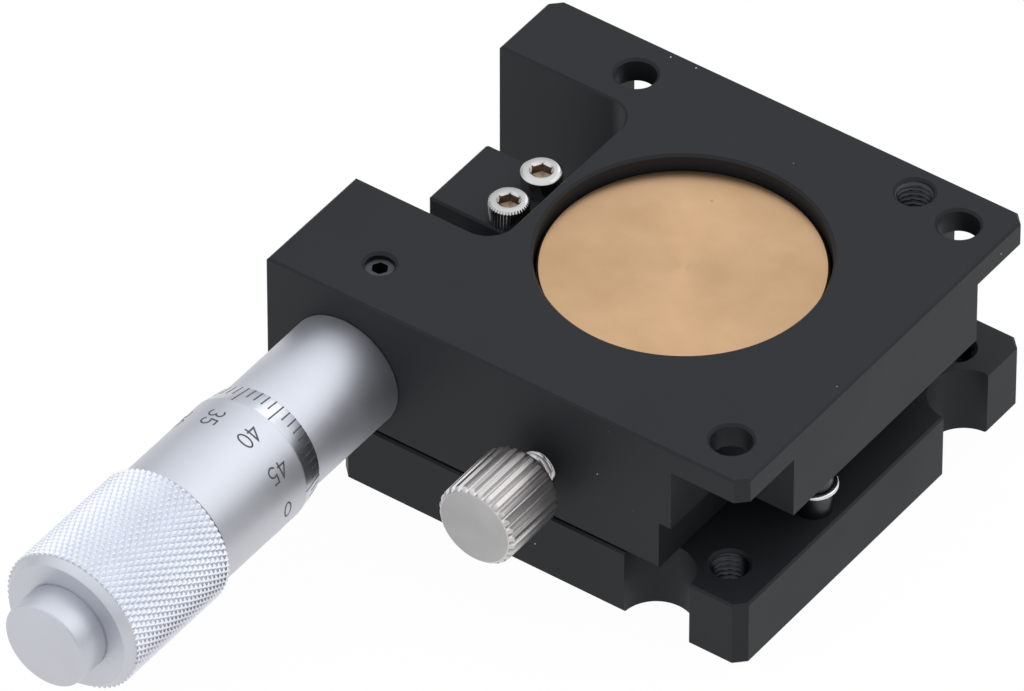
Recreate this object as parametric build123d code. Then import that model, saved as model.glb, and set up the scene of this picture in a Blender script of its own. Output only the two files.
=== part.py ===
from build123d import *
import math
import os

# Limited-range rotary stage: a platform turns about the upright axis of a bronze hub that is
# screwed to a square base. A micrometer head clamped in the platform pushes on an anvil block
# that stands on the base, a return spring pulls the other way, and a thumbscrew locks the hub.
# Millimetres. The origin is on the turning axis, in the plane of the base's underside.
# +Z is up, the micrometer lies along Y on the -X side, and its thimble points to -Y.

# Base plate
plate_size = 62.5
base_thickness = 10.0
corner_chamfer = 1.5
edge_chamfer = 0.3
hole_margin = 6.25
tapped_hole_radius = 2.5
clearance_hole_radius = 2.75
hole_mouth_chamfer = 0.35
side_notch_radius = 5.0
side_notch_inset = 6.8

# Platform
platform_gap = 0.4
platform_height = 20.6
block_overhang = 11.0
ear_thickness = 3.6
corner_pocket_size = 11.0
rear_left_pocket_width = 9.4
notch_room_front = 6.0
notch_room_rear = 12.4
notch_wall_gap = 1.4
notch_corner_radius = 4.0
channel_height = 7.6
foot_inset = 1.8
extra_hole_inset = 8.0
extra_hole_margin = 4.45
extra_hole_depth = 12.0

# Pivot hub and its washers
journal_share = 0.24
running_clearance = 0.05
flange_overlap = 3.6
flange_thickness = 4.0
flange_recess = 2.1
flange_side_gap = 0.4
hub_chamfer = 0.3
spigot_step = 3.0
spigot_depth = 3.0
washer_thickness = 0.35
upper_washer_thickness = 0.5
hub_screw_share = 0.66
hub_screw_radius = 2.0
hub_screw_socket = 3.0
hub_screw_engagement = 8.0
hub_head_radius = 3.5
hub_head_height = 4.0

# Cap screws in general
head_chamfer_share = 0.12
tip_chamfer_share = 0.2
socket_depth_share = 0.5
hole_end_room = 1.0

# Anvil
anvil_width = 12.8
anvil_outer_side = 5.3
anvil_inner_side = 8.1
anvil_front = -6.1
anvil_height = 16.8
anvil_pad_radius = 3.0
anvil_pad_thickness = 1.2
anvil_pad_proud = 0.2
anvil_screw_offset = 5.25
anvil_screw_spacing = 7.1
anvil_screw_radius = 1.5
anvil_screw_socket = 2.5
anvil_screw_engagement = 7.0
anvil_head_radius = 2.75
anvil_head_height = 3.0
screw_hole_clearance = 0.1

# Micrometer
micrometer_inset = 1.25
micrometer_drop = 12.5
shank_radius = 6.0
shank_proud = 0.5
barrel_radius = 8.25
barrel_length = 27.0
barrel_neck_step = 1.75
barrel_neck_length = 7.0
thimble_start = 17.35
thimble_wall = 0.95
thimble_bevel_length = 3.7
thimble_bevel_drop = 0.65
thimble_length = 37.5
grip_setback = 20.5
grip_end_wall = 3.8
grip_wall = 0.85
grip_chamfer = 0.9
cap_setback = 3.95
cap_length = 4.7
cap_fillet = 0.5
cap_spigot_radius = 2.8
spindle_radius = 3.25
spindle_end_room = 2.85
spindle_nose_length = 1.0
ball_radius = 2.5
ball_socket_wall = 0.25
ball_seat_depth = 0.9
contact_gap = 0.08
drive_nut_length = 8.0
adjusting_nut_length = 5.0
adjusting_nut_room = 0.7
adjusting_nut_setback = 1.0

# Clamp screw of the micrometer
set_screw_margin = 7.45
set_screw_radius = 2.0
set_screw_recess = 0.8
set_screw_socket = 2.0
set_screw_socket_depth = 2.0
set_screw_pad_length = 0.8

# Lock thumbscrew
lock_drop = 13.3
lock_screw_radius = 2.5
lock_pad_radius = 2.3
lock_pad_length = 3.0
lock_pad_gap = 0.25
lock_neck = 3.05
knob_radius = 5.8
knob_length = 10.4
knob_flutes = 26
knob_flute_radius = 0.42
knob_flute_sink = 0.3
knob_face_chamfer = 0.5

# Return spring and the two upright posts that its loops hang on, one in the base, one in the platform
base_post_offset = 8.95
base_post_y = -10.2
base_post_radius = 2.5
post_seat_depth = 6.0
post_tip = 2.6
platform_post_offset = 3.3
platform_post_y = 10.0
platform_post_radius = 1.5
post_chamfer = 0.3
spring_wire_radius = 0.35
spring_coil_radius = 1.85
spring_turns = 9
spring_loop_gap = 0.1
loop_lead = 1.6
loop_open_angle = 50
loop_points = 8
coil_points = 10

# How far a cutter runs past the face that it cuts
overshoot = 1.0

# Places across the stage
half = plate_size / 2
hole_offset = half - hole_margin
side_notch_offset = hole_offset - side_notch_inset
extra_hole_x = hole_offset - extra_hole_inset
extra_hole_y = half - extra_hole_margin
pocket_edge = half - corner_pocket_size
foot_edge = pocket_edge - foot_inset
base_post_x = foot_edge + base_post_offset
platform_post_x = foot_edge + platform_post_offset
journal_radius = plate_size * journal_share
flange_radius = journal_radius + flange_overlap
counterbore_radius = flange_radius + flange_side_gap
washer_radius = flange_radius - hub_chamfer
spigot_radius = journal_radius - spigot_step
hub_screw_circle = spigot_radius * hub_screw_share
micrometer_x = micrometer_inset - half
anvil_left = micrometer_x - anvil_outer_side
anvil_right = micrometer_x + anvil_inner_side
anvil_screw_x = micrometer_x + anvil_screw_offset
notch_wall = anvil_right + notch_wall_gap
platform_left = -half - block_overhang

# Radii of the micrometer, from its barrel outwards
barrel_neck_radius = barrel_radius - barrel_neck_step
thimble_bore_radius = barrel_radius + running_clearance
adjusting_nut_radius = thimble_bore_radius - adjusting_nut_room
thimble_radius = thimble_bore_radius + thimble_wall
thimble_bevel_radius = thimble_radius - thimble_bevel_drop
grip_radius = thimble_radius + grip_wall
cap_radius = grip_radius - cap_setback

# Places along the micrometer's axis
anvil_rear = anvil_front + anvil_width
anvil_middle = (anvil_front + anvil_rear) / 2
anvil_face = anvil_front - anvil_pad_proud
notch_front = anvil_front - notch_room_front
notch_rear = anvil_rear + notch_room_rear
set_screw_y = set_screw_margin - half
barrel_front = -half
barrel_rear = barrel_front - barrel_length
thimble_front = barrel_front - thimble_start
thimble_rear = thimble_front - thimble_length
grip_front = thimble_front - grip_setback
grip_rear = thimble_rear - grip_end_wall
knob_rear = -half - lock_neck
lock_pad_nose = -journal_radius - lock_pad_gap

# Levels
base_top = base_thickness
platform_bottom = base_top + platform_gap
platform_top = platform_bottom + platform_height
ear_bottom = platform_top - ear_thickness
channel_top = platform_bottom + channel_height
flange_top = platform_top - flange_recess
flange_bottom = flange_top - flange_thickness
shoulder_level = flange_bottom - upper_washer_thickness - running_clearance
anvil_top = base_top + anvil_height
micrometer_z = platform_top - micrometer_drop
lock_z = platform_top - lock_drop
spring_z = (base_top + channel_top) / 2

# Which side of a solid stands on its place
on_corner = (Align.MIN, Align.MIN, Align.MIN)
on_start = (Align.CENTER, Align.CENTER, Align.MIN)
on_end = (Align.CENTER, Align.CENTER, Align.MAX)

base_corners = [(sx * hole_offset, sy * hole_offset) for sx in (-1, 1) for sy in (-1, 1)]
ear_corners = [(-hole_offset, hole_offset), (hole_offset, hole_offset), (hole_offset, -hole_offset)]
anvil_screw_places = {
    "anvil_screw_front": anvil_middle - anvil_screw_spacing / 2,
    "anvil_screw_rear": anvil_middle + anvil_screw_spacing / 2,
}


def block(x0, x1, y0, y1, z0, z1):
    """A box between two corners."""
    return Pos(x0, y0, z0) * Box(x1 - x0, y1 - y0, z1 - z0, align=on_corner)


def upright(x, y, z0, z1, radius):
    """A cylinder along Z between two levels."""
    return Pos(x, y, z0) * Cylinder(radius, z1 - z0, align=on_start)


def along_y(x, z, y0, y1, radius):
    """A cylinder along Y between two places."""
    return Pos(x, y0, z) * Rot(-90, 0, 0) * Cylinder(radius, y1 - y0, align=on_start)


def mouth(x, y, level, radius, downward=True):
    """The countersink that breaks the edge of a hole's mouth at a level."""
    cone = Cone(radius, radius + hole_mouth_chamfer, hole_mouth_chamfer, align=on_end)
    turn = Rot(0, 0, 0) if downward else Rot(180, 0, 0)
    return Pos(x, y, level) * turn * cone


def turned(profile):
    """A turned piece from (radius, z) points about the stage's axis."""
    points = [(radius, 0, level) for radius, level in profile]
    return revolve(make_face(Polyline(*points, close=True)), Axis.Z)


def turned_on_micrometer(profile):
    """A turned piece from (radius, y) points about the micrometer's axis."""
    points = [(micrometer_x + radius, y, micrometer_z) for radius, y in profile]
    axis = Axis((micrometer_x, 0, micrometer_z), (0, 1, 0))
    return revolve(make_face(Polyline(*points, close=True)), axis)


def hex_socket(across, depth):
    """A hexagon socket's cutter that hangs down from the origin."""
    corner_radius = across / math.sqrt(3)
    return extrude(RegularPolygon(corner_radius, 6), -depth)


def cap_screw(head_radius, head_height, stem_radius, stem_length, across):
    """A socket head cap screw: head standing on the origin, shank hanging below it."""
    head = Cylinder(head_radius, head_height, align=on_start)
    head = chamfer(head.faces().sort_by(Axis.Z)[-1].edges(), head_radius * head_chamfer_share)
    shank = Cylinder(stem_radius, stem_length, align=on_end)
    shank = chamfer(shank.faces().sort_by(Axis.Z)[0].edges(), stem_radius * tip_chamfer_share)
    return head + shank - Pos(0, 0, head_height) * hex_socket(across, head_height * socket_depth_share)


def base_plate():
    """Square plate with tapped corners, a half-round notch in each side and the hub's seat."""
    plate = block(-half, half, -half, half, 0, base_top)
    plate = chamfer(plate.edges().filter_by(Axis.Z), corner_chamfer)
    plate = chamfer(plate.faces().sort_by(Axis.Z)[-1].edges(), edge_chamfer)
    plate = chamfer(plate.faces().sort_by(Axis.Z)[0].edges(), edge_chamfer)
    over = base_top + overshoot
    notch = upright(side_notch_offset, -half, -overshoot, over, side_notch_radius)
    for side in range(4):
        plate -= Rot(0, 0, 90 * side) * notch
    for x, y in base_corners:
        plate -= upright(x, y, -overshoot, over, tapped_hole_radius)
        plate -= mouth(x, y, base_top, tapped_hole_radius)
        plate -= mouth(x, y, 0, tapped_hole_radius, downward=False)
    plate -= upright(0, 0, base_top - spigot_depth, over, spigot_radius)
    for screw in hub_screw_locations():
        plate -= screw * upright(0, 0, -overshoot, base_top, hub_screw_radius + screw_hole_clearance)
        plate -= screw * upright(0, 0, -overshoot, hub_head_seat(), hub_head_radius + screw_hole_clearance)
    for y in anvil_screw_places.values():
        plate -= upright(anvil_screw_x, y, base_top - anvil_screw_engagement, over, anvil_screw_radius)
    plate -= upright(base_post_x, base_post_y, base_top - post_seat_depth, over, base_post_radius)
    return plate


def hub_head_seat():
    """Level that the hub screws' heads bear on inside the base."""
    return hub_head_height + edge_chamfer


def hub_screw_locations():
    """Places of the four screws that hold the hub, turned off the plate's axes."""
    return [Rot(0, 0, 45 + 90 * i) * Pos(hub_screw_circle, 0, 0) for i in range(4)]


def pivot_hub():
    """Bronze hub: spigot in the base, journal for the platform, flange that keeps it down."""
    hub = turned([
        (0, base_top - spigot_depth),
        (spigot_radius, base_top - spigot_depth),
        (spigot_radius, base_top),
        (journal_radius, base_top),
        (journal_radius, flange_bottom),
        (flange_radius, flange_bottom),
        (flange_radius, flange_top - hub_chamfer),
        (flange_radius - hub_chamfer, flange_top),
        (0, flange_top),
    ])
    bottom = base_top - spigot_depth
    for screw in hub_screw_locations():
        hub -= screw * upright(0, 0, bottom - overshoot, bottom + hub_screw_engagement, hub_screw_radius)
    return hub


def hub_screws():
    """Four cap screws up through the base into the hub."""
    length = base_top - spigot_depth - hub_head_seat() + hub_screw_engagement - hole_end_room
    screw = cap_screw(hub_head_radius, hub_head_height, hub_screw_radius, length, hub_screw_socket)
    screw = Pos(0, 0, hub_head_seat()) * Rot(180, 0, 0) * screw
    return [place * screw for place in hub_screw_locations()]


def washer(level, thickness):
    """A flat ring round the journal."""
    hole = upright(0, 0, level - overshoot, level + thickness + overshoot, journal_radius + 2 * running_clearance)
    return upright(0, 0, level, level + thickness, washer_radius) - hole


def anvil_block():
    """Upright block on the base that the micrometer pushes."""
    anvil = block(anvil_left, anvil_right, anvil_front, anvil_rear, base_top, anvil_top)
    anvil = chamfer(anvil.edges().filter_by(Axis.Z), edge_chamfer)
    anvil = chamfer(anvil.faces().sort_by(Axis.Z)[-1].edges(), edge_chamfer)
    for y in anvil_screw_places.values():
        hole_radius = anvil_screw_radius + screw_hole_clearance
        anvil -= upright(anvil_screw_x, y, base_top - overshoot, anvil_top + overshoot, hole_radius)
    anvil -= along_y(micrometer_x, micrometer_z, anvil_front - overshoot, anvil_pad_rear(), anvil_pad_radius)
    return anvil


def anvil_pad_rear():
    """Where the hardened pad ends inside the anvil."""
    return anvil_face + anvil_pad_thickness


def anvil_pad():
    """Hardened button that the spindle's ball bears on."""
    pad = along_y(micrometer_x, micrometer_z, anvil_face, anvil_pad_rear(), anvil_pad_radius)
    return chamfer(pad.faces().sort_by(Axis.Y)[0].edges(), anvil_pad_proud)


def anvil_screw(y):
    """Cap screw down through the anvil into the base."""
    length = anvil_height + anvil_screw_engagement - hole_end_room
    screw = cap_screw(anvil_head_radius, anvil_head_height, anvil_screw_radius, length, anvil_screw_socket)
    return Pos(anvil_screw_x, y, anvil_top) * screw


def platform():
    """Platform: bored plate with thin ears, the micrometer's block and the anvil's notch."""
    body = block(platform_left, half, -half, half, platform_bottom, platform_top)
    corners = body.edges().filter_by(Axis.Z)
    rear_left = corners.filter_by_position(Axis.X, platform_left, platform_left).sort_by(Axis.Y)[-1]
    right = corners.filter_by_position(Axis.X, half, half)
    body = chamfer([rear_left, *right], corner_chamfer)
    low = platform_bottom - overshoot
    high = platform_top + overshoot
    reach = half + overshoot
    notch = block(platform_left - overshoot, notch_wall, notch_front, notch_rear, low, high)
    notch_edges = notch.edges().filter_by(Axis.Z).sort_by(Axis.X)[-2:]
    body -= fillet(notch_edges, notch_corner_radius)
    body = chamfer(body.faces().sort_by(Axis.Z)[-1].edges(), edge_chamfer)
    body = chamfer(body.faces().sort_by(Axis.Z)[0].edges(), edge_chamfer)
    for pocket in corner_pockets():
        body -= pocket
    body -= block(foot_edge, reach, -reach, reach, low, channel_top)
    body -= upright(0, 0, low, high, journal_radius + running_clearance)
    body -= upright(0, 0, shoulder_level, high, counterbore_radius)
    body -= mouth(0, 0, platform_top, counterbore_radius)
    for x, y in ear_corners:
        body -= upright(x, y, ear_bottom - overshoot, high, clearance_hole_radius)
        body -= mouth(x, y, platform_top, clearance_hole_radius)
    body -= upright(extra_hole_x, extra_hole_y, platform_top - extra_hole_depth, high, tapped_hole_radius)
    body -= mouth(extra_hole_x, extra_hole_y, platform_top, tapped_hole_radius)
    body -= along_y(micrometer_x, micrometer_z, -reach, notch_front + overshoot, shank_radius)
    body -= upright(micrometer_x, set_screw_y, micrometer_z, high, set_screw_radius)
    body -= mouth(micrometer_x, set_screw_y, platform_top, set_screw_radius)
    body -= along_y(0, lock_z, -reach, 0, lock_screw_radius + running_clearance)
    post_seat = channel_top + post_seat_depth
    body -= upright(platform_post_x, platform_post_y, channel_top - overshoot, post_seat, platform_post_radius)
    return body


def corner_pockets():
    """The relief under each ear, open to the sides and below."""
    reach = half + overshoot
    low = platform_bottom - overshoot
    places = [
        (pocket_edge, reach, pocket_edge, reach),
        (pocket_edge, reach, -reach, -pocket_edge),
        (-pocket_edge - rear_left_pocket_width, -pocket_edge, pocket_edge, reach),
    ]
    return [block(x0, x1, y0, y1, low, ear_bottom) for x0, x1, y0, y1 in places]


def micrometer_sleeve():
    """Fixed barrel of the micrometer head, with the shank that the platform clamps."""
    neck = barrel_rear + barrel_neck_length
    inner = spindle_radius + running_clearance
    return turned_on_micrometer([
        (inner, notch_front + shank_proud),
        (shank_radius, notch_front + shank_proud),
        (shank_radius, barrel_front),
        (barrel_radius, barrel_front),
        (barrel_radius, neck),
        (barrel_neck_radius, neck),
        (barrel_neck_radius, barrel_rear),
        (inner, barrel_rear),
    ])


def adjusting_nut():
    """Nut on the barrel's neck that takes up play in the thread."""
    front = barrel_rear + barrel_neck_length - adjusting_nut_setback
    rear = front - adjusting_nut_length
    return turned_on_micrometer([
        (barrel_neck_radius, front),
        (adjusting_nut_radius, front),
        (adjusting_nut_radius, rear),
        (barrel_neck_radius, rear),
    ])


def spindle_ball():
    """Hard ball in the spindle's nose."""
    return Pos(micrometer_x, anvil_face - contact_gap - ball_radius, micrometer_z) * Sphere(ball_radius)


def spindle():
    """Spindle that slides in the barrel, with a seat for the ball."""
    nose = anvil_face - contact_gap - 2 * ball_radius + ball_seat_depth
    rear = thimble_rear + spindle_end_room
    shaft = turned_on_micrometer([
        (0, nose),
        (ball_radius + ball_socket_wall, nose),
        (spindle_radius, nose - spindle_nose_length),
        (spindle_radius, rear),
        (0, rear),
    ])
    return shaft - spindle_ball()


def thimble():
    """Graduated thimble that runs over the barrel, with a bevelled front edge."""
    return turned_on_micrometer([
        (thimble_bore_radius, thimble_front),
        (thimble_bevel_radius, thimble_front),
        (thimble_radius, thimble_front - thimble_bevel_length),
        (thimble_radius, thimble_rear),
        (thimble_bore_radius, thimble_rear),
    ])


def drive_nut():
    """Nut fixed in the thimble's rear that carries it on the spindle."""
    front = thimble_rear + drive_nut_length
    return turned_on_micrometer([
        (spindle_radius + running_clearance, front),
        (thimble_bore_radius, front),
        (thimble_bore_radius, thimble_rear),
        (spindle_radius + running_clearance, thimble_rear),
    ])


def thimble_grip():
    """Knurled grip over the thimble's rear, closed by an end wall."""
    front_chamfer = grip_chamfer / 3
    return turned_on_micrometer([
        (thimble_radius, grip_front),
        (grip_radius - front_chamfer, grip_front),
        (grip_radius, grip_front - front_chamfer),
        (grip_radius, grip_rear + grip_chamfer),
        (grip_radius - grip_chamfer, grip_rear),
        (cap_spigot_radius, grip_rear),
        (cap_spigot_radius, thimble_rear),
        (thimble_radius, thimble_rear),
    ])


def thimble_cap():
    """Plain round cap screwed into the grip's end wall."""
    cap = turned_on_micrometer([
        (0, thimble_rear),
        (cap_spigot_radius, thimble_rear),
        (cap_spigot_radius, grip_rear),
        (cap_radius, grip_rear),
        (cap_radius, grip_rear - cap_length),
        (0, grip_rear - cap_length),
    ])
    return fillet(cap.faces().sort_by(Axis.Y)[0].edges(), cap_fillet)


def sleeve_set_screw():
    """Socket set screw that clamps the micrometer's shank from above."""
    bottom = micrometer_z + shank_radius + set_screw_pad_length
    top = platform_top - set_screw_recess
    screw = upright(micrometer_x, set_screw_y, bottom, top, set_screw_radius)
    socket = Pos(micrometer_x, set_screw_y, top) * hex_socket(set_screw_socket, set_screw_socket_depth)
    return screw - socket


def set_screw_pad():
    """Soft pad between the set screw and the shank."""
    shank_top = micrometer_z + shank_radius
    pad = upright(
        micrometer_x, set_screw_y, shank_top - overshoot, shank_top + set_screw_pad_length, set_screw_radius
    )
    return pad - along_y(micrometer_x, micrometer_z, -half, notch_front, shank_radius)


def lock_pad():
    """Brass pad that the thumbscrew presses on the hub's journal."""
    return along_y(0, lock_z, lock_pad_nose - lock_pad_length, lock_pad_nose, lock_pad_radius)


def lock_screw():
    """Threaded shank of the thumbscrew, with its neck standing out of the platform."""
    tip = lock_pad_nose - lock_pad_length - running_clearance
    return along_y(0, lock_z, knob_rear, tip, lock_screw_radius)


def lock_knob():
    """Straight-fluted knob head."""
    front = knob_rear - knob_length
    knob = along_y(0, lock_z, front, knob_rear, knob_radius)
    knob = chamfer(knob.faces().sort_by(Axis.Y)[0].edges(), knob_face_chamfer)
    knob = chamfer(knob.faces().sort_by(Axis.Y)[-1].edges(), knob_face_chamfer)
    flute_circle = knob_radius + knob_flute_radius * knob_flute_sink
    for i in range(knob_flutes):
        angle = 2 * math.pi * i / knob_flutes
        x = flute_circle * math.cos(angle)
        z = lock_z + flute_circle * math.sin(angle)
        knob -= along_y(x, z, front - overshoot, knob_rear + overshoot, knob_flute_radius)
    return knob


def base_spring_post():
    """Round post in the base that the spring's front loop hangs on."""
    bottom = base_top - post_seat_depth
    post = upright(base_post_x, base_post_y, bottom, spring_z + post_tip, base_post_radius)
    return chamfer(post.faces().sort_by(Axis.Z)[-1].edges(), post_chamfer)


def platform_spring_post():
    """Round post hanging from the platform's channel that the spring's rear loop hangs on."""
    top = channel_top + post_seat_depth
    post = upright(platform_post_x, platform_post_y, spring_z - post_tip, top, platform_post_radius)
    return chamfer(post.faces().sort_by(Axis.Z)[0].edges(), post_chamfer)


def spring_loop(post_radius):
    """Points of an open loop round a post at the local origin, ending where its lead to the coil starts."""
    loop_radius = post_radius + spring_wire_radius + spring_loop_gap
    lead_angle = math.asin(min(1, spring_coil_radius / loop_radius))
    free_angle = 2 * math.pi - math.radians(loop_open_angle)
    step = (lead_angle - free_angle) / loop_points
    angles = [free_angle + step * i for i in range(loop_points + 1)]
    return [(loop_radius * math.cos(angle), loop_radius * math.sin(angle), 0) for angle in angles]


def return_spring():
    """Extension spring of one wire between the two posts, with an open loop at each end."""
    across = platform_post_x - base_post_x
    along = platform_post_y - base_post_y
    length = math.hypot(across, along)
    start = base_post_radius + spring_wire_radius + loop_lead
    end = length - platform_post_radius - spring_wire_radius - loop_lead
    line = spring_loop(base_post_radius)
    samples = spring_turns * coil_points
    for i in range(1, samples):
        turn = 2 * math.pi * i / coil_points
        x = start + (end - start) * i / samples
        line.append((x, spring_coil_radius * math.cos(turn), spring_coil_radius * math.sin(turn)))
    for x, y, z in reversed(spring_loop(platform_post_radius)):
        line.append((length - x, y, z))
    path = Spline(*line)
    spring = sweep(Plane(path @ 0, z_dir=path % 0) * Circle(spring_wire_radius), path=path)
    return Pos(base_post_x, base_post_y, spring_z) * Rot(0, 0, math.degrees(math.atan2(along, across))) * spring


def solids_of(shape):
    """The node's solids, whether it is one shape or a list of them."""
    shapes = shape if isinstance(shape, (list, tuple)) else [shape]
    return [solid for one in shapes for solid in one.solids()]


def all_nodes():
    """Every piece of the stage under its own name."""
    nodes = {
        "base_plate": base_plate(),
        "pivot_hub": pivot_hub(),
        "hub_screws": hub_screws(),
        "lower_thrust_washer": washer(base_top, washer_thickness),
        "upper_thrust_washer": washer(flange_bottom - upper_washer_thickness, upper_washer_thickness),
        "anvil_block": anvil_block(),
        "anvil_pad": anvil_pad(),
        "base_spring_post": base_spring_post(),
        "return_spring": return_spring(),
        "platform": platform(),
        "platform_spring_post": platform_spring_post(),
        "micrometer_sleeve": micrometer_sleeve(),
        "adjusting_nut": adjusting_nut(),
        "sleeve_set_screw": sleeve_set_screw(),
        "set_screw_pad": set_screw_pad(),
        "spindle": spindle(),
        "spindle_ball": spindle_ball(),
        "thimble": thimble(),
        "drive_nut": drive_nut(),
        "thimble_grip": thimble_grip(),
        "thimble_cap": thimble_cap(),
        "lock_pad": lock_pad(),
        "lock_screw": lock_screw(),
        "lock_knob": lock_knob(),
    }
    for name, y in anvil_screw_places.items():
        nodes[name] = anvil_screw(y)
    return nodes


os.makedirs("parts", exist_ok=True)
for name, shape in all_nodes().items():
    export_step(Compound(children=solids_of(shape), label=name), f"parts/{name}.step")
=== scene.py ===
import math

import bmesh
import bpy
from mathutils import Matrix, Vector

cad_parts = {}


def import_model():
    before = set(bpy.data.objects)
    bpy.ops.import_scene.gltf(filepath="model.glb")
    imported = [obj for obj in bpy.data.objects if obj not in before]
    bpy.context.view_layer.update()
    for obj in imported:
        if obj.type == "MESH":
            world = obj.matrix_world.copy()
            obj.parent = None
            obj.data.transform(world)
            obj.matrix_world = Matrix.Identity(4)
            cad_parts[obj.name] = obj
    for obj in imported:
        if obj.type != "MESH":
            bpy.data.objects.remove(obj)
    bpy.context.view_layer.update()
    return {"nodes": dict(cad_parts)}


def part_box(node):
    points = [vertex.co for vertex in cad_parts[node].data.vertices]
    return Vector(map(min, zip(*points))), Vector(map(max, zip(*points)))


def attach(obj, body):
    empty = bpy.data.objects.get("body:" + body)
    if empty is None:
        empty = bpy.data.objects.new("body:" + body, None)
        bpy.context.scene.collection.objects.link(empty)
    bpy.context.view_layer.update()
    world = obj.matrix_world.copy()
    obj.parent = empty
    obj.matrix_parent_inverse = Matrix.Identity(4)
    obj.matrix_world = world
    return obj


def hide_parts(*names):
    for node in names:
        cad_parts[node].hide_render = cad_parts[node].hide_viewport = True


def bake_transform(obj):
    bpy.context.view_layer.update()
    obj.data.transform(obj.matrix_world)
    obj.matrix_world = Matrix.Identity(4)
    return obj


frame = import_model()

MM = 0.001
TAU = 2 * math.pi
ON_AXIS = 1e-9
nodes = frame["nodes"]


# Shader helpers
def new_material(name):
    """A material with only a Principled shader and its output."""
    made = bpy.data.materials.new(name)
    made.use_nodes = True
    tree = made.node_tree
    tree.nodes.clear()
    out = tree.nodes.new("ShaderNodeOutputMaterial")
    shader = tree.nodes.new("ShaderNodeBsdfPrincipled")
    tree.links.new(shader.outputs["BSDF"], out.inputs["Surface"])
    return made, tree, shader


def add(tree, kind, **settings):
    """A node with its properties set."""
    node = tree.nodes.new(kind)
    for key, value in settings.items():
        setattr(node, key, value)
    return node


def link(tree, source, target):
    tree.links.new(source, target)


def coordinates(tree, scale=(1, 1, 1), rotation=(0, 0, 0)):
    """Object coordinates in metres through a mapping."""
    place = tree.nodes.new("ShaderNodeTexCoord")
    mapping = tree.nodes.new("ShaderNodeMapping")
    mapping.inputs["Scale"].default_value = scale
    mapping.inputs["Rotation"].default_value = rotation
    link(tree, place.outputs["Object"], mapping.inputs["Vector"])
    return mapping.outputs["Vector"]


def noise(tree, vector, scale, detail=3.0, roughness=0.5):
    node = add(tree, "ShaderNodeTexNoise")
    node.inputs["Scale"].default_value = scale
    node.inputs["Detail"].default_value = detail
    node.inputs["Roughness"].default_value = roughness
    link(tree, vector, node.inputs["Vector"])
    return node.outputs["Fac"]


def ramp(tree, value, stops):
    """A colour ramp over a value; stops are (place, colour or grey)."""
    node = tree.nodes.new("ShaderNodeValToRGB")
    elements = node.color_ramp.elements
    while len(elements) < len(stops):
        elements.new(0.5)
    for element, (place, colour) in zip(elements, stops):
        element.position = place
        if isinstance(colour, (int, float)):
            colour = (colour, colour, colour)
        element.color = (*colour, 1)
    link(tree, value, node.inputs["Fac"])
    return node.outputs["Color"]


def mapped(tree, value, low, high, to_low, to_high):
    node = add(tree, "ShaderNodeMapRange")
    node.inputs["From Min"].default_value = low
    node.inputs["From Max"].default_value = high
    node.inputs["To Min"].default_value = to_low
    node.inputs["To Max"].default_value = to_high
    link(tree, value, node.inputs["Value"])
    return node.outputs["Result"]


def mixed(tree, factor, first, second, blend="MIX"):
    """Colour mix; first and second are sockets or colours."""
    node = add(tree, "ShaderNodeMix", data_type="RGBA", blend_type=blend)
    for socket, value in ((node.inputs[0], factor), (node.inputs[6], first), (node.inputs[7], second)):
        if isinstance(value, bpy.types.NodeSocket):
            link(tree, value, socket)
        elif isinstance(value, (int, float)):
            socket.default_value = value
        else:
            socket.default_value = (*value, 1)
    return node.outputs[2]


def bump(tree, shader, heights):
    """Chained bumps on the shader; heights are (socket, strength, distance in metres)."""
    normal = None
    for height, strength, distance in heights:
        node = add(tree, "ShaderNodeBump")
        node.inputs["Strength"].default_value = strength
        node.inputs["Distance"].default_value = distance
        link(tree, height, node.inputs["Height"])
        if normal is not None:
            link(tree, normal, node.inputs["Normal"])
        normal = node.outputs["Normal"]
    link(tree, normal, shader.inputs["Normal"])


def black_anodised():
    """Black anodised aluminium: fine blasted grain, faint mottling, tiny pale specks and scratches."""
    made, tree, shader = new_material("black_anodised")
    at = coordinates(tree)
    cloud = noise(tree, at, 60, 4)
    grain = noise(tree, at, 9000, 2)
    tone = ramp(tree, cloud, [(0.3, (0.0120, 0.0128, 0.0145)), (0.7, (0.0155, 0.0163, 0.0182))])
    specks = add(tree, "ShaderNodeTexVoronoi", feature="F1")
    specks.inputs["Scale"].default_value = 420
    link(tree, at, specks.inputs["Vector"])
    speck = mapped(tree, specks.outputs["Distance"], 0.035, 0.055, 1, 0)
    some = ramp(tree, noise(tree, at, 210, 2), [(0.63, 0.0), (0.66, 1.0)])
    speck_mask = mixed(tree, speck, (0, 0, 0), some)
    long_way = coordinates(tree, scale=(1, 0.06, 1), rotation=(0, 0, 0.7))
    hair = add(tree, "ShaderNodeTexVoronoi", feature="F1")
    hair.inputs["Scale"].default_value = 800
    link(tree, long_way, hair.inputs["Vector"])
    hair_line = mapped(tree, hair.outputs["Distance"], 0.02, 0.03, 1, 0)
    few = ramp(tree, noise(tree, at, 90, 2), [(0.66, 0.0), (0.68, 0.5)])
    hair_mask = mixed(tree, hair_line, (0, 0, 0), few)
    colour = mixed(tree, speck_mask, tone, (0.5, 0.5, 0.52))
    colour = mixed(tree, hair_mask, colour, (0.35, 0.36, 0.38))
    link(tree, colour, shader.inputs["Base Color"])
    rough = mapped(tree, cloud, 0.3, 0.7, 0.46, 0.54)
    link(tree, rough, shader.inputs["Roughness"])
    shader.inputs["Specular IOR Level"].default_value = 0.18
    bump(tree, shader, [(grain, 0.25, 0.00002)])
    return made


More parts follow.
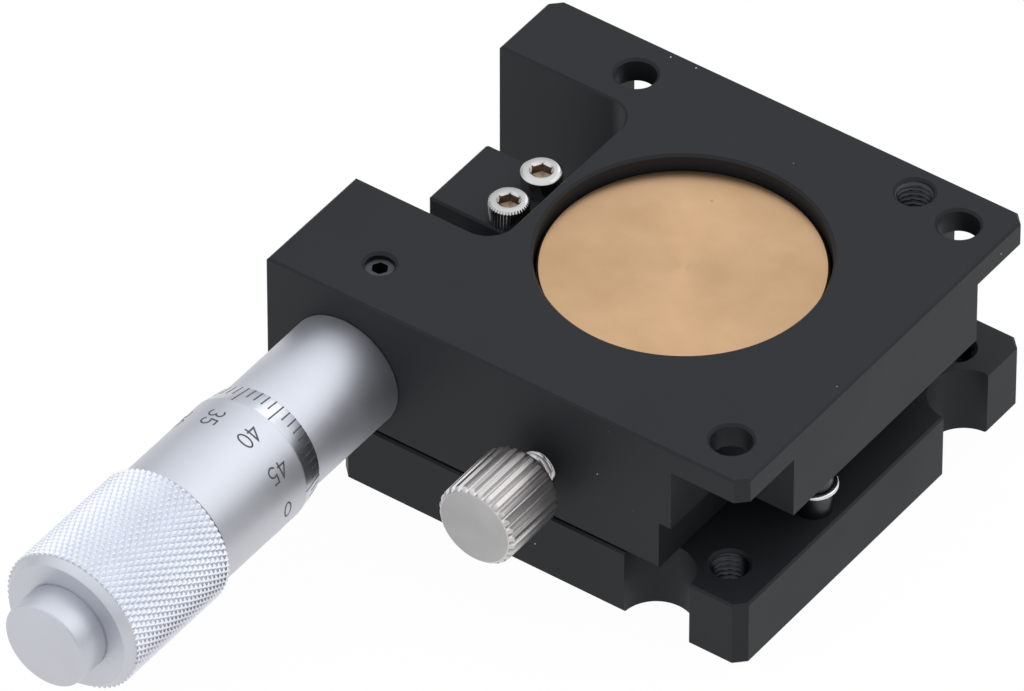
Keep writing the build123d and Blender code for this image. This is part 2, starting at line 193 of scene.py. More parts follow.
def bronze():
    """Face-turned bronze: fine rings about the stage's axis, radial sheen, small dark spots."""
    made, tree, shader = new_material("turned_bronze")
    at = coordinates(tree)
    split = tree.nodes.new("ShaderNodeSeparateXYZ")
    link(tree, at, split.inputs["Vector"])
    flat = tree.nodes.new("ShaderNodeCombineXYZ")
    link(tree, split.outputs["X"], flat.inputs["X"])
    link(tree, split.outputs["Y"], flat.inputs["Y"])
    length = add(tree, "ShaderNodeVectorMath", operation="LENGTH")
    link(tree, flat.outputs["Vector"], length.inputs[0])
    ring_at = tree.nodes.new("ShaderNodeCombineXYZ")
    link(tree, length.outputs["Value"], ring_at.inputs["X"])
    rings = noise(tree, ring_at.outputs["Vector"], 9000, 3, 0.6)
    coarse = noise(tree, ring_at.outputs["Vector"], 1500, 2, 0.5)
    cloud = noise(tree, at, 160, 5)
    tone = ramp(tree, cloud, [(0.25, (0.52, 0.33, 0.183)), (0.75, (0.60, 0.39, 0.23))])
    ringed = mixed(tree, 0.12, tone, ramp(tree, rings, [(0.3, 0.25), (0.7, 0.75)]), "OVERLAY")
    spots = add(tree, "ShaderNodeTexVoronoi", feature="F1")
    spots.inputs["Scale"].default_value = 330
    link(tree, at, spots.inputs["Vector"])
    spot = mapped(tree, spots.outputs["Distance"], 0.05, 0.11, 0.55, 0)
    some = ramp(tree, noise(tree, at, 150, 2), [(0.6, 0.0), (0.66, 1.0)])
    colour = mixed(tree, mixed(tree, spot, (0, 0, 0), some), ringed, (0.13, 0.075, 0.04))
    link(tree, colour, shader.inputs["Base Color"])
    shader.inputs["Metallic"].default_value = 1.0
    shader.inputs["Roughness"].default_value = 0.42
    shader.inputs["Anisotropic"].default_value = 0.75
    tangent = add(tree, "ShaderNodeTangent", direction_type="RADIAL", axis="Z")
    link(tree, tangent.outputs["Tangent"], shader.inputs["Tangent"])
    bump(tree, shader, [(rings, 0.12, 0.00001), (coarse, 0.1, 0.00003)])
    return made


def turned_metal(name, dark, light, roughness, axis="Y", anisotropy=0.45, grain=(30, 9000, 30)):
    """Turned or satin metal with fine lines round its axis and slight cloudiness."""
    made, tree, shader = new_material(name)
    at = coordinates(tree)
    lines = noise(tree, coordinates(tree, scale=grain), 1, 3, 0.6)
    cloud = noise(tree, at, 120, 3)
    tone = ramp(tree, cloud, [(0.3, dark), (0.7, light)])
    link(tree, tone, shader.inputs["Base Color"])
    shader.inputs["Metallic"].default_value = 1.0
    rough = mapped(tree, lines, 0.2, 0.8, roughness - 0.05, roughness + 0.05)
    link(tree, rough, shader.inputs["Roughness"])
    shader.inputs["Anisotropic"].default_value = anisotropy
    tangent = add(tree, "ShaderNodeTangent", direction_type="RADIAL", axis=axis)
    link(tree, tangent.outputs["Tangent"], shader.inputs["Tangent"])
    bump(tree, shader, [(lines, 0.1, 0.00001)])
    return made


def blasted_chrome(name, roughness, level):
    """Satin chrome plate: pale, slightly bluish, with a very fine even grain."""
    def tone_of(share):
        return tuple(level * share * c for c in (0.91, 0.93, 1.0))

    made, tree, shader = new_material(name)
    at = coordinates(tree)
    grain = noise(tree, at, 14000, 2)
    cloud = noise(tree, at, 140, 4)
    tone = ramp(tree, cloud, [(0.3, tone_of(0.93)), (0.7, tone_of(1.0))])
    link(tree, tone, shader.inputs["Base Color"])
    shader.inputs["Metallic"].default_value = 1.0
    rough = mapped(tree, cloud, 0.3, 0.7, roughness - 0.03, roughness + 0.03)
    link(tree, rough, shader.inputs["Roughness"])
    bump(tree, shader, [(grain, 0.12, 0.00001)])
    return made


def polymer():
    """Pale bearing polymer."""
    made, tree, shader = new_material("bearing_polymer")
    at = coordinates(tree)
    cloud = noise(tree, at, 300, 4)
    tone = ramp(tree, cloud, [(0.3, (0.62, 0.59, 0.50)), (0.7, (0.70, 0.67, 0.58))])
    link(tree, tone, shader.inputs["Base Color"])
    shader.inputs["Roughness"].default_value = 0.5
    bump(tree, shader, [(cloud, 0.1, 0.00003)])
    return made


def scale_ink():
    """Dark filled engraving of the thimble's scale."""
    made, tree, shader = new_material("scale_ink")
    at = coordinates(tree)
    worn = noise(tree, at, 2500, 3)
    tone = ramp(tree, worn, [(0.35, (0.035, 0.036, 0.04)), (0.75, (0.09, 0.093, 0.1))])
    link(tree, tone, shader.inputs["Base Color"])
    shader.inputs["Roughness"].default_value = 0.6
    return made


# Grain that runs in no direction
EVEN = (900, 900, 900)

BLACK = black_anodised()
BRONZE = bronze()
CHROME = blasted_chrome("satin_chrome", 0.44, 0.65)
BARREL_CHROME = blasted_chrome("barrel_chrome", 0.5, 0.68)
BRIGHT_CHROME = blasted_chrome("bright_chrome", 0.31, 0.68)
KNURL_CHROME = blasted_chrome("knurl_chrome", 0.36, 0.86)
STAINLESS = turned_metal("turned_stainless", (0.54, 0.52, 0.51), (0.62, 0.60, 0.59), 0.32, "Y", 0.1)
# Darker copy of the turned stainless for the knob's front face: real faced turning, with painted shade in its
# darker tone
FACED_PAINTED_SHADE = turned_metal("faced_stainless_painted_shade", (0.38, 0.375, 0.375), (0.47, 0.462, 0.46), 0.36, "Y", 0.5, EVEN)
SCREW = turned_metal("screw_stainless", (0.46, 0.45, 0.44), (0.54, 0.53, 0.52), 0.19, "Z", 0.2, (30, 30, 6000))
SOCKET = turned_metal("socket_stainless", (0.24, 0.185, 0.135), (0.36, 0.29, 0.22), 0.3, "Z", 0.0, EVEN)
HARD = turned_metal("hardened_steel", (0.36, 0.36, 0.37), (0.46, 0.46, 0.47), 0.28)
WIRE = turned_metal("spring_wire", (0.62, 0.62, 0.63), (0.74, 0.74, 0.75), 0.2, "Y", 0.0, (2500, 2500, 2500))
OXIDE = turned_metal("black_oxide_steel", (0.045, 0.045, 0.048), (0.075, 0.075, 0.08), 0.34, "Z", 0.0, EVEN)
POLYMER = polymer()
INK = scale_ink()
THREAD = turned_metal("black_thread", (0.035, 0.037, 0.04), (0.05, 0.052, 0.056), 0.35, "Z", 0.0, EVEN)

CAD_LOOKS = {
    BLACK: ["base_plate", "platform", "anvil_block"],
    BRONZE: ["pivot_hub", "drive_nut", "lock_pad"],
    CHROME: ["micrometer_sleeve", "thimble", "thimble_grip", "thimble_cap"],
    STAINLESS: ["lock_knob", "lock_screw"],
    SCREW: ["hub_screws", "anvil_screw_front", "anvil_screw_rear"],
    HARD: ["anvil_pad", "spindle", "spindle_ball", "adjusting_nut"],
    WIRE: ["return_spring"],
    OXIDE: ["sleeve_set_screw", "base_spring_post", "platform_spring_post"],
    POLYMER: ["lower_thrust_washer", "upper_thrust_washer", "set_screw_pad"],
}
for look, names in CAD_LOOKS.items():
    for name in names:
        nodes[name].data.materials.clear()
        nodes[name].data.materials.append(look)


# Mesh helpers. Lengths in millimetres until the object is made
def make(name, verts, faces, material, body, crease=math.radians(32)):
    """A mesh object with smooth faces and sharp edges where the surface turns, riding on its body."""
    mesh = bpy.data.meshes.new(name)
    mesh.from_pydata([tuple(c * MM for c in v) for v in verts], [], faces)
    work = bmesh.new()
    work.from_mesh(mesh)
    bmesh.ops.remove_doubles(work, verts=work.verts, dist=1e-7)
    bmesh.ops.recalc_face_normals(work, faces=work.faces)
    for face in work.faces:
        face.smooth = True
    for edge in work.edges:
        if len(edge.link_faces) != 2 or edge.calc_face_angle(0) > crease:
            edge.smooth = False
    work.to_mesh(mesh)
    work.free()
    mesh.materials.append(material)
    made = bpy.data.objects.new(name, mesh)
    bpy.context.scene.collection.objects.link(made)
    if body:
        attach(made, body)
    return made


def rounded(profile, sizes, steps=3):
    """A closed profile with its named corners rounded; sizes is {index: radius}."""
    count = len(profile)
    out = []
    for i, point in enumerate(profile):
        size = sizes.get(i, 0)
        if not size:
            out.append(point)
            continue
        here = Vector(point)
        before = Vector(profile[i - 1]) - here
        after = Vector(profile[(i + 1) % count]) - here
        first = here + before.normalized() * min(size, before.length * 0.45)
        last = here + after.normalized() * min(size, after.length * 0.45)
        for s in range(steps + 1):
            t = s / steps
            mid = first.lerp(here, t).lerp(here.lerp(last, t), t)
            out.append((mid.x, mid.y))
    return out


def lathe(profile, segments):
    """Verts and faces of a closed profile of (radius, y) turned about the micrometer's axis."""
    verts = []
    faces = []
    count = len(profile)
    for i in range(segments):
        j = (i + 1) % segments
        verts += [on_mic(radius, TAU * i / segments, y) for radius, y in profile]
        for k in range(count):
            n = (k + 1) % count
            if max(profile[k][0], profile[n][0]) < ON_AXIS:
                continue
            faces.append((i * count + k, j * count + k, j * count + n, i * count + n))
    return verts, faces


def stack(rings, count, place):
    """Verts of rings of (radius, height); a radius is a number or a function of the vertex's index."""
    verts = []
    for radius, height in rings:
        for i in range(count):
            a = TAU * i / count
            r = radius(i) if callable(radius) else radius
            verts.append(place(r * math.cos(a), r * math.sin(a), height))
    return verts


def skin(rings, count, looped=False):
    """Faces over rings of count verts, closed at both ends or, looped, back to the first ring."""
    faces = []
    for n in range(rings if looped else rings - 1):
        after = (n + 1) % rings
        for i in range(count):
            j = (i + 1) % count
            faces.append((n * count + i, n * count + j, after * count + j, after * count + i))
    if not looped:
        faces.append(tuple(reversed(range(count))))
        faces.append(tuple((rings - 1) * count + i for i in range(count)))
    return faces


def bar_faces(first, stations):
    """Faces of a bar with four corners at each station, closed at both ends."""
    faces = []
    for k in range(stations - 1):
        b = first + 4 * k
        faces += [
            (b, b + 4, b + 5, b + 1), (b + 2, b + 3, b + 7, b + 6),
            (b, b + 2, b + 6, b + 4), (b + 1, b + 5, b + 7, b + 3),
        ]
    e = first + 4 * (stations - 1)
    return faces + [(first, first + 1, first + 3, first + 2), (e, e + 2, e + 3, e + 1)]


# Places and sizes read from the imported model, in millimetres
def span(node, axis):
    low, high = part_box(node)
    return low[axis] / MM, high[axis] / MM


def middle(node, axis):
    low, high = span(node, axis)
    return (low + high) / 2


MIC = (middle("thimble", 0), 0, middle("thimble", 2))
BARREL_R = (span("micrometer_sleeve", 0)[1] - span("micrometer_sleeve", 0)[0]) / 2
BLOCK_FACE = span("platform", 1)[0]
BARREL_REAR = span("micrometer_sleeve", 1)[0]
THIMBLE_R = (span("thimble", 0)[1] - span("thimble", 0)[0]) / 2
THIMBLE_REAR, THIMBLE_FRONT = span("thimble", 1)
GRIP_R = (span("thimble_grip", 0)[1] - span("thimble_grip", 0)[0]) / 2
GRIP_REAR, GRIP_FRONT = span("thimble_grip", 1)
CAP_R = (span("thimble_cap", 0)[1] - span("thimble_cap", 0)[0]) / 2
CAP_REAR = span("thimble_cap", 1)[0]
BEVEL_LENGTH = 3.7
BEVEL_R = THIMBLE_R - 0.65
BORE_R = BARREL_R + 0.05

# The ink is sunk in the metal and stands out by a hair
INK_FOOT = -0.04
LINE_LIFT = 0.012
NUMBER_LIFT = 0.013


def on_mic(radius, angle, y):
    """A point at a radius and an angle about the micrometer's axis."""
    return MIC[0] + radius * math.cos(angle), y, MIC[2] + radius * math.sin(angle)


def turned_piece(name, profile, sizes, material, body, node, segments=180):
    """A satin chrome lathe piece on the micrometer's axis that stands for a CAD node."""
    verts, faces = lathe(rounded(profile, sizes), segments)
    made = make(name, verts, faces, material, body)
    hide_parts(node)
    return made


def micrometer():
    """Barrel, thimble and cap, with eased edges."""
    inner = 3.3
    shank = 6.0
    neck = 6.5
    neck_front = BARREL_REAR + 7
    nose = span("micrometer_sleeve", 1)[1]
    turned_piece("barrel", [
        (inner, nose), (shank, nose), (shank, BLOCK_FACE), (BARREL_R, BLOCK_FACE), (BARREL_R, neck_front),
        (neck, neck_front), (neck, BARREL_REAR), (inner, BARREL_REAR),
    ], {1: 0.3, 3: 0.25, 4: 0.2, 6: 0.2}, BARREL_CHROME, "platform", "micrometer_sleeve")
    bevel_end = THIMBLE_FRONT - BEVEL_LENGTH
    body = turned_piece("thimble_body", [
        (BORE_R, THIMBLE_FRONT), (BEVEL_R, THIMBLE_FRONT), (THIMBLE_R, bevel_end),
        (THIMBLE_R, THIMBLE_REAR), (BORE_R, THIMBLE_REAR),
    ], {1: 0.12, 2: 0.15}, CHROME, "thimble", "thimble", 240)
    body.data.materials.append(BRIGHT_CHROME)
    for face in body.data.polygons:
        if face.center.y > (bevel_end + 0.1) * MM:
            face.material_index = 1
    core = 2.8
    step_r = CAP_R - 0.12
    step_end = GRIP_REAR - 0.22
    turned_piece("grip_cap", [
        (0, THIMBLE_REAR), (core, THIMBLE_REAR), (core, GRIP_REAR), (step_r, GRIP_REAR),
        (step_r, step_end), (CAP_R, step_end), (CAP_R, CAP_REAR), (0, CAP_REAR),
    ], {5: 0.1, 6: 0.6}, CHROME, "thimble", "thimble_cap")


def knurled_grip():
    """Grip with a raised diamond knurl, a plain chamfered end and a stepped front edge."""
    around = 68
    cells = 6
    depth = 0.34
    pitch = 1.6
    flat_top = 1.3
    bore = THIMBLE_R + 0.02
    core = 2.85
    count = around * cells
    start = GRIP_FRONT - 0.5
    end = GRIP_REAR + 1.15
    rows = round((start - end) / pitch) * cells
    valley = GRIP_R - depth
    rings = [(bore, GRIP_FRONT, None), (valley - 0.2, GRIP_FRONT, None), (valley, start + 0.12, None)]
    rings += [(GRIP_R, start - (start - end) * k / rows, k) for k in range(rows + 1)]
    rings += [
        (valley, end - 0.1, None), (valley - 0.08, end - 0.2, None), (GRIP_R - 1.0, GRIP_REAR + 0.12, None),
        (GRIP_R - 1.15, GRIP_REAR, None), (core, GRIP_REAR, None), (core, THIMBLE_REAR, None),
        (bore, THIMBLE_REAR, None),
    ]
    verts = []
    for radius, y, k in rings:
        for i in range(count):
            r = radius
            if k is not None:
                u = (i + k) / cells % 1
                v = (i - k) / cells % 1
                peak = 1 - 2 * max(abs(u - 0.5), abs(v - 0.5))
                r = radius - depth * (1 - min(1, peak * flat_top))
            verts.append(on_mic(r, TAU * i / count, y))
    faces = []
    total = len(rings)
    for n in range(total):
        after = (n + 1) % total
        k = rings[n][2]
        for i in range(count):
            j = (i + 1) % count
            p, q, r, t = n * count + i, n * count + j, after * count + j, after * count + i
            if k is None or rings[after][2] is None:
                faces.append((p, q, r, t))
            elif (i + k + 1) % cells == 0:
                faces += [(p, q, t), (q, r, t)]
            else:
                faces += [(p, q, r), (p, r, t)]
    made = make("grip_knurl", verts, faces, KNURL_CHROME, "thimble", math.radians(24))
    made.data.materials.append(CHROME)
    for face in made.data.polygons:
        if face.center.y < end * MM:
            face.material_index = 1
    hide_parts("thimble_grip")


def surface_radius(y):
    """Radius of the thimble's outside at a place along its axis."""
    if y > THIMBLE_FRONT - BEVEL_LENGTH:
        return BEVEL_R + (THIMBLE_R - BEVEL_R) * (THIMBLE_FRONT - y) / BEVEL_LENGTH
    return THIMBLE_R


def thimble_scale():
    """Fifty engraved lines and the numbers of every fifth one."""
    zero_angle = math.radians(-3.5)
    lines = 50
    numbers = 10
    number_y = -56.15
    width = 0.2
    edge = 0.02
    long_reach = 3.62
    short_reach = 2.1
    verts = []
    faces = []
    for i in range(lines):
        a = zero_angle - TAU * i / lines
        reach = long_reach if i % 5 == 0 else short_reach
        faces += bar_faces(len(verts), 3)
        for s in (edge, reach / 2, reach):
            y = THIMBLE_FRONT - s
            r = surface_radius(y)
            half = width / 2 / r
            for lift in (INK_FOOT, LINE_LIFT):
                for side in (-half, half):
                    verts.append(on_mic(r + lift, a + side, y))
    make("thimble_lines", verts, faces, INK, "thimble")
    for i in range(numbers):
        number(str(5 * i), zero_angle - TAU * i / numbers, number_y, f"thimble_number_{5 * i}")


def bow(x, y, radius, first, last, tall=1.0, steps=14):
    """Points of an arc in a digit; angles in degrees."""
    turns = (math.radians(first + (last - first) * i / steps) for i in range(steps + 1))
    return [(x + radius * math.cos(t), y + radius * tall * math.sin(t)) for t in turns]


DIGITS = {
    "0": [bow(0.3, 0.5, 0.27, 90, 450, 1.85, 28)],
    "1": [[(0.12, 0.78), (0.34, 1.0), (0.34, 0.0)]],
    "2": [bow(0.3, 0.73, 0.26, 165, -35) + [(0.04, 0.0), (0.58, 0.0)]],
    "3": [bow(0.29, 0.745, 0.245, 150, -80), bow(0.29, 0.265, 0.275, 80, -150)],
    "4": [[(0.47, 0.0), (0.47, 1.0), (0.02, 0.27), (0.62, 0.27)]],
    "5": [[(0.54, 1.0), (0.13, 1.0), (0.09, 0.56)] + bow(0.29, 0.31, 0.29, 122, -150)],
}


def number(words, angle, y_centre, name):
    """Digits in strokes of even width, wrapped on the thimble and reading away from the block."""
    tall = 2.25
    step = 0.78
    half = 0.12
    reach = 0.18
    start = -(step * (len(words) - 1) + 0.6) / 2
    verts = []
    faces = []
    for place, digit in enumerate(words):
        for stroke in DIGITS[digit]:
            corners = [Vector(((start + place * step + x) * tall, (y - 0.5) * tall)) for x, y in stroke]
            line = [corners[0]]
            for corner in corners[1:]:
                last = line[-1]
                pieces = max(1, round((corner - last).length / reach))
                line += [last.lerp(corner, n / pieces) for n in range(1, pieces + 1)]
            faces += bar_faces(len(verts), len(line))
            for i, point in enumerate(line):
                before = (point - line[i - 1]).normalized() if i else None
                after = (line[i + 1] - point).normalized() if i + 1 < len(line) else None
                way = ((before or after) + (after or before)).normalized()
                side = Vector((-way.y, way.x)) * half / max(0.45, way.dot(after or before))
                for lift in (INK_FOOT, NUMBER_LIFT):
                    for edge in (point - side, point + side):
                        y = y_centre - edge.x
                        verts.append(on_mic(surface_radius(y) + lift, angle - edge.y / THIMBLE_R, y))
    make(name, verts, faces, INK, "thimble")


def barrel_scale():
    """Datum line and half-millimetre marks on the barrel's outer side."""
    steps = 4
    verts = []
    faces = []

    def strip(first, last, low, high):
        faces.extend(bar_faces(len(verts), steps + 1))
        for k in range(steps + 1):
            a = first + (last - first) * k / steps
            for lift in (INK_FOOT, LINE_LIFT):
                verts.append(on_mic(BARREL_R + lift, a, low))
                verts.append(on_mic(BARREL_R + lift, a, high))

    datum = math.pi
    half = 0.075 / BARREL_R
    thin = 0.06
    strip(datum - half, datum + half, BLOCK_FACE - 2.6, THIMBLE_FRONT - 3)
    for i in range(31):
        y = BLOCK_FACE - 3 - 0.5 * i
        reach = (1.9 if i % 10 == 0 else 1.3) / BARREL_R
        side = 1 if i % 2 == 0 else -1
        strip(datum + side * half, datum + side * reach, y - thin, y + thin)
    make("barrel_lines", verts, faces, INK, "platform")


def tube(points, radius, sides=14):
    """A round tube along points, closed at both ends."""
    verts = []
    line = [Vector(p) for p in points]
    normal = Vector((0, 0, 1))
    last = None
    for i, point in enumerate(line):
        ahead = (line[min(i + 1, len(line) - 1)] - line[max(i - 1, 0)]).normalized()
        if last is not None:
            normal = last.rotation_difference(ahead) @ normal
        normal = (normal - ahead * normal.dot(ahead)).normalized()
        other = ahead.cross(normal)
        for k in range(sides):
            a = TAU * k / sides
            verts.append(tuple(point + radius * (math.cos(a) * normal + math.sin(a) * other)))
        last = ahead
    return verts, skin(len(line), sides)


def thread_radius(turn, crest, root):
    """Radius on a thread's flank; turn is the place within one pitch, 0 to 1."""
    t = abs((turn % 1) - 0.5) * 2
    t = min(1, max(0, (t - 0.12) / 0.76))
    return crest + (root - crest) * t


def inner_thread(name, x, y, low, high, thread, body):
    """Thread inside a tapped hole, as a closed sleeve against the hole's wall."""
    outer, depth, pitch = thread
    segments = 48
    fine = 10
    run_out = 4
    root = outer - 0.02
    wall = outer - 0.004
    steps = int((high - low) / pitch * fine)

    def flank(z, crest):
        return lambda i: thread_radius(z / pitch - i / segments, crest, root)

    rings = []
    for k in range(steps + 1):
        z = low + (high - low) * k / steps
        taper = min(1, k / run_out, (steps - k) / run_out)
        rings.append((flank(z, root - depth * taper), z))
    rings += [(wall, high), (wall, low)]
    verts = stack(rings, segments, lambda u, v, z: (x + u, y + v, z))
    faces = skin(len(rings), segments, True)
    make(name, verts, faces, THREAD, body, math.radians(50))


def tapped_holes():
    """Threads in the base's four corners, in the platform's tapped hole and over the set screw."""
    # Radius of the hole, depth and pitch of the thread
    mounting = (2.5, 0.42, 0.8)
    clamping = (2.0, 0.2, 0.7)
    offset = 25
    corners = {"front_right": (1, -1), "rear_right": (1, 1), "rear_left": (-1, 1), "front_left": (-1, -1)}
    for name, (sx, sy) in corners.items():
        inner_thread("base_thread_" + name, sx * offset, sy * offset, 0.4, 9.62, mounting, "base")
    inner_thread("platform_thread", 17, 26.8, 19.2, 30.6, mounting, "platform")
    inner_thread("set_screw_thread", MIC[0], -23.8, 30.22, 30.64, clamping, "platform")


def head_screw(node, knurled):
    """Socket head cap screw with a chamfered head and a hexagon socket."""
    x = middle(node, 0)
    y = middle(node, 1)
    left, right = span(node, 0)
    bottom, top = span(node, 2)
    radius = (right - left) / 2 - 0.03
    seat = top - 3.0
    shank = 1.45
    socket_half = 1.25
    knurl_depth = 0.14
    count = 240
    rib = 6

    def hexagon(i):
        a = TAU * i / count
        return socket_half / math.cos(a % (TAU / 6) - TAU / 12)

    def side(i):
        return radius - knurl_depth * abs(i / rib % 1 - 0.5) * 2 if knurled else radius

    rings = [
        (shank, bottom), (shank, seat), (radius - 0.1, seat), (side, seat + 0.1), (side, top - 0.36),
        (radius - 0.3, top - 0.05), (radius - 0.4, top), (1.62, top),
        (lambda i: max(1.5, hexagon(i)), top - 0.12), (hexagon, top - 0.3), (hexagon, top - 1.5),
        (0.05, top - 1.9),
    ]
    verts = stack(rings, count, lambda u, v, z: (x + u, y + v, z))
    faces = skin(len(rings), count)
    made = make(node + "_head", verts, faces, SCREW, "base", math.radians(30))
    made.data.materials.append(SOCKET)
    for face in made.data.polygons:
        centre = face.center / MM
        off = math.hypot(centre.x - x, centre.y - y)
        if seat < centre.z < top - 0.28 and off < shank + 0.01:
            face.material_index = 1
    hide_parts(node)


def lock_knob():
    """Fluted thumbscrew head with a turned face, the face in a darker stainless as painted shade."""
    x = middle("lock_knob", 0)
    z = middle("lock_knob", 2)
    out = 0.4
    front, rear = (y - out for y in span("lock_knob", 1))
    radius = 5.8
    collar = 2.3
    flute_depth = 0.5
    flutes = 28
    per = 14
    count = flutes * per

    def fluted(size):
        def at(i):
            t = abs(i / per % 1 - 0.5) * 2
            groove = max(0, (t - 0.5) / 0.5)
            return min(size, radius - flute_depth * math.sqrt(max(0, 1 - (1 - groove) ** 2)))
        return at

    rings = [
        (0.02, front + 0.04), (5.0, front), (5.15, front), (fluted(5.32), front + 0.08),
        (fluted(5.72), front + 0.5), (fluted(radius), front + 0.62), (fluted(radius), rear - 0.62),
        (fluted(5.72), rear - 0.5), (fluted(5.3), rear - 0.06), (5.1, rear), (collar, rear),
        (collar, rear - 0.5),
    ]
    verts = stack(rings, count, lambda u, v, y: (x + u, y, z + v))
    faces = skin(len(rings), count)
    made = make("thumbscrew_head", verts, faces, STAINLESS, "lock_knob", math.radians(26))
    # The front face takes the darker stainless: painted shade on the face
    made.data.materials.append(FACED_PAINTED_SHADE)
    for face in made.data.polygons:
        if face.center.y < (front + 0.03) * MM:
            face.material_index = 1
    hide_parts("lock_knob")


def lock_thread():
    """Threaded shank of the thumbscrew."""
    x = middle("lock_screw", 0)
    z = middle("lock_screw", 2)
    start, end = span("lock_screw", 1)
    segments = 48
    fine = 8
    pitch = 0.8
    crest = 2.48
    root = 2.06
    steps = int((end - start) / pitch * fine)

    def flank(y):
        return lambda i: thread_radius(y / pitch - i / segments, crest, root)

    stations = [start + (end - start) * k / steps for k in range(steps + 1)]
    verts = stack([(flank(y), y) for y in stations], segments, lambda u, v, y: (x + u, y, z + v))
    faces = skin(len(stations), segments)
    made = make("thumbscrew_thread", verts, faces, STAINLESS, "lock_knob", math.radians(50))
    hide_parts("lock_screw")


def spring():
    """Extension spring of one wire between the base's post and the platform's."""
    base_post = Vector((middle("base_spring_post", 0), middle("base_spring_post", 1), 0))
    far_post = Vector((middle("platform_spring_post", 0), middle("platform_spring_post", 1), 0))
    base_r = 2.5
    far_r = 1.5
    wire = 0.35
    coil = 1.85
    turns = 9
    gap = 0.1
    lead = 1.6
    fine = 24
    z = 14
    along = far_post - base_post
    length = along.length
    along.normalize()
    across = Vector((-along.y, along.x, 0))

    def loop(post_r):
        loop_r = post_r + wire + gap
        lead_angle = math.asin(min(1, coil / loop_r))
        free = TAU - math.radians(50)
        return [
            (loop_r * math.cos(a), loop_r * math.sin(a), 0)
            for a in (free + (lead_angle - free) * i / fine for i in range(fine + 1))
        ]

    start = base_r + wire + lead
    end = length - far_r - wire - lead
    line = loop(base_r)
    samples = turns * fine
    for i in range(2, samples - 1):
        t = TAU * i / fine
        line.append((start + (end - start) * i / samples, coil * math.cos(t), coil * math.sin(t)))
    line += [(length - p, q, r) for p, q, r in reversed(loop(far_r))]
    smooth = list(line)
    for _ in range(2):
        smooth = [smooth[0]] + [
            tuple((a + 2 * b + c) / 4 for a, b, c in zip(smooth[i - 1], smooth[i], smooth[i + 1]))
            for i in range(1, len(smooth) - 1)
        ] + [smooth[-1]]
    points = [tuple(base_post + along * p + across * q + Vector((0, 0, z + r))) for p, q, r in smooth]
    verts, faces = tube(points, wire)
    made = make("spring_wire", verts, faces, WIRE, None, math.radians(60))
    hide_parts("return_spring")
    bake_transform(made)


micrometer()
knurled_grip()
thimble_scale()
barrel_scale()
tapped_holes()
head_screw("anvil_screw_front", True)
head_screw("anvil_screw_rear", False)
lock_knob()
lock_thread()
spring()


# The scene around the object
def lamp(name, size, power, place, aim):
    """A rectangular lamp at a place, turned to its aim."""
    data = bpy.data.lights.new(name, "AREA")
    data.shape = "RECTANGLE"
    data.size, data.size_y = size
    data.energy = power
    made = bpy.data.objects.new(name, data)
    bpy.context.scene.collection.objects.link(made)
    made.location = place
    made.rotation_euler = (Vector(aim) - Vector(place)).to_track_quat("-Z", "Y").to_euler()


def camera():
    """The photograph's view: a long lens, 42 degrees above the platform."""
    elevation = math.radians(41.78)
    bearing = math.radians(-54.32)
    toward = Vector((
        math.cos(elevation) * math.cos(bearing), math.cos(elevation) * math.sin(bearing), math.sin(elevation)
    ))
    right = Vector((-math.sin(bearing), math.cos(bearing), 0))
    up = toward.cross(right)
    top = Vector((0, 0, 31))
    centre = -21.596 * right - 11.564 * up + 1945.4 * toward + top
    data = bpy.data.cameras.new("camera")
    data.sensor_width = 36
    data.sensor_fit = "HORIZONTAL"
    focal_pixels = 15424.6
    photo_width = 1024
    data.lens = focal_pixels / photo_width * data.sensor_width
    data.clip_end = 20
    made = bpy.data.objects.new("camera", data)
    bpy.context.scene.collection.objects.link(made)
    rotation = Matrix((right, up, toward)).transposed()
    made.matrix_world = Matrix.Translation(centre * MM) @ rotation.to_4x4()
    bpy.context.scene.camera = made


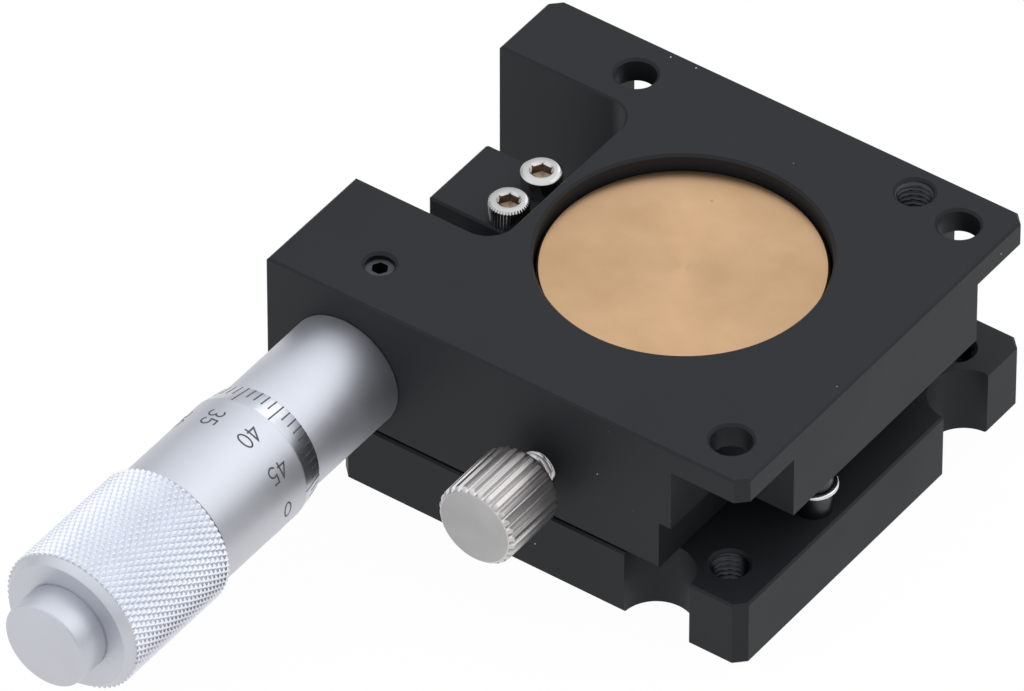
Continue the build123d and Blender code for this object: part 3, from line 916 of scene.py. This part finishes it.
def floor():
    """Pale plain floor; the camera and reflections see it as white, with the object's shadow kept."""
    made, tree, shader = new_material("floor")
    shader.inputs["Base Color"].default_value = (0.9, 0.9, 0.9, 1)
    shader.inputs["Roughness"].default_value = 0.9
    shader.inputs["Specular IOR Level"].default_value = 0.0
    mesh = bpy.data.meshes.new("floor")
    r = 3.0
    mesh.from_pydata([(-r, -r, 0), (r, -r, 0), (r, r, 0), (-r, r, 0)], [], [(0, 1, 2, 3)])
    mesh.materials.append(made)
    plane = bpy.data.objects.new("floor", mesh)
    plane.location.z = -0.00005
    bpy.context.scene.collection.objects.link(plane)
    out = [n for n in tree.nodes if n.type == "OUTPUT_MATERIAL"][0]
    path = tree.nodes.new("ShaderNodeLightPath")
    glow = add(tree, "ShaderNodeEmission")
    glow.inputs["Color"].default_value = (1, 1, 1, 1)
    glow.inputs["Strength"].default_value = 1.0
    seen = add(tree, "ShaderNodeMath", operation="MAXIMUM")
    link(tree, path.outputs["Is Camera Ray"], seen.inputs[0])
    link(tree, path.outputs["Is Glossy Ray"], seen.inputs[1])
    both = add(tree, "ShaderNodeMath", operation="MAXIMUM")
    link(tree, seen.outputs[0], both.inputs[0])
    link(tree, path.outputs["Is Transmission Ray"], both.inputs[1])
    share = add(tree, "ShaderNodeMath", operation="MULTIPLY")
    share.inputs[1].default_value = 0.97
    link(tree, both.outputs[0], share.inputs[0])
    mix = tree.nodes.new("ShaderNodeMixShader")
    link(tree, share.outputs[0], mix.inputs[0])
    link(tree, shader.outputs[0], mix.inputs[1])
    link(tree, glow.outputs[0], mix.inputs[2])
    link(tree, mix.outputs[0], out.inputs["Surface"])


def world():
    """Soft surround, brighter overhead than at the horizon, and white where the camera sees it."""
    made = bpy.data.worlds.new("world")
    bpy.context.scene.world = made
    made.use_nodes = True
    tree = made.node_tree
    tree.nodes.clear()
    out = tree.nodes.new("ShaderNodeOutputWorld")
    light = add(tree, "ShaderNodeBackground")
    light.inputs["Color"].default_value = (0.95, 0.97, 1, 1)
    at = tree.nodes.new("ShaderNodeTexCoord")
    split = tree.nodes.new("ShaderNodeSeparateXYZ")
    link(tree, at.outputs["Generated"], split.inputs["Vector"])
    link(tree, mapped(tree, split.outputs["Z"], 0.05, 0.85, 0.55, 1.35), light.inputs["Strength"])
    white = add(tree, "ShaderNodeBackground")
    white.inputs["Color"].default_value = (1, 1, 1, 1)
    white.inputs["Strength"].default_value = 1.0
    path = tree.nodes.new("ShaderNodeLightPath")
    mix = tree.nodes.new("ShaderNodeMixShader")
    link(tree, path.outputs["Is Camera Ray"], mix.inputs[0])
    link(tree, light.outputs[0], mix.inputs[1])
    link(tree, white.outputs[0], mix.inputs[2])
    link(tree, mix.outputs[0], out.inputs["Surface"])


def lights():
    """Large soft lamps: a key high at the rear right, one behind, a weak one from each front side."""
    body = (0, 0, 0.02)
    lamp("key", (1.0, 1.0), 1.6, (0.62, 0.66, 0.72), body)
    lamp("rear", (0.5, 0.5), 0.8, (-0.12, 1.0, 0.66), body)
    lamp("front_left", (0.7, 0.7), 0.3, (-0.55, -0.5, 0.45), (-0.02, -0.03, 0.02))
    lamp("front_right", (0.5, 0.4), 0.15, (0.6, -0.35, 0.3), body)


camera()
floor()
world()
lights()

bpy.context.scene.view_settings.view_transform = "Standard"
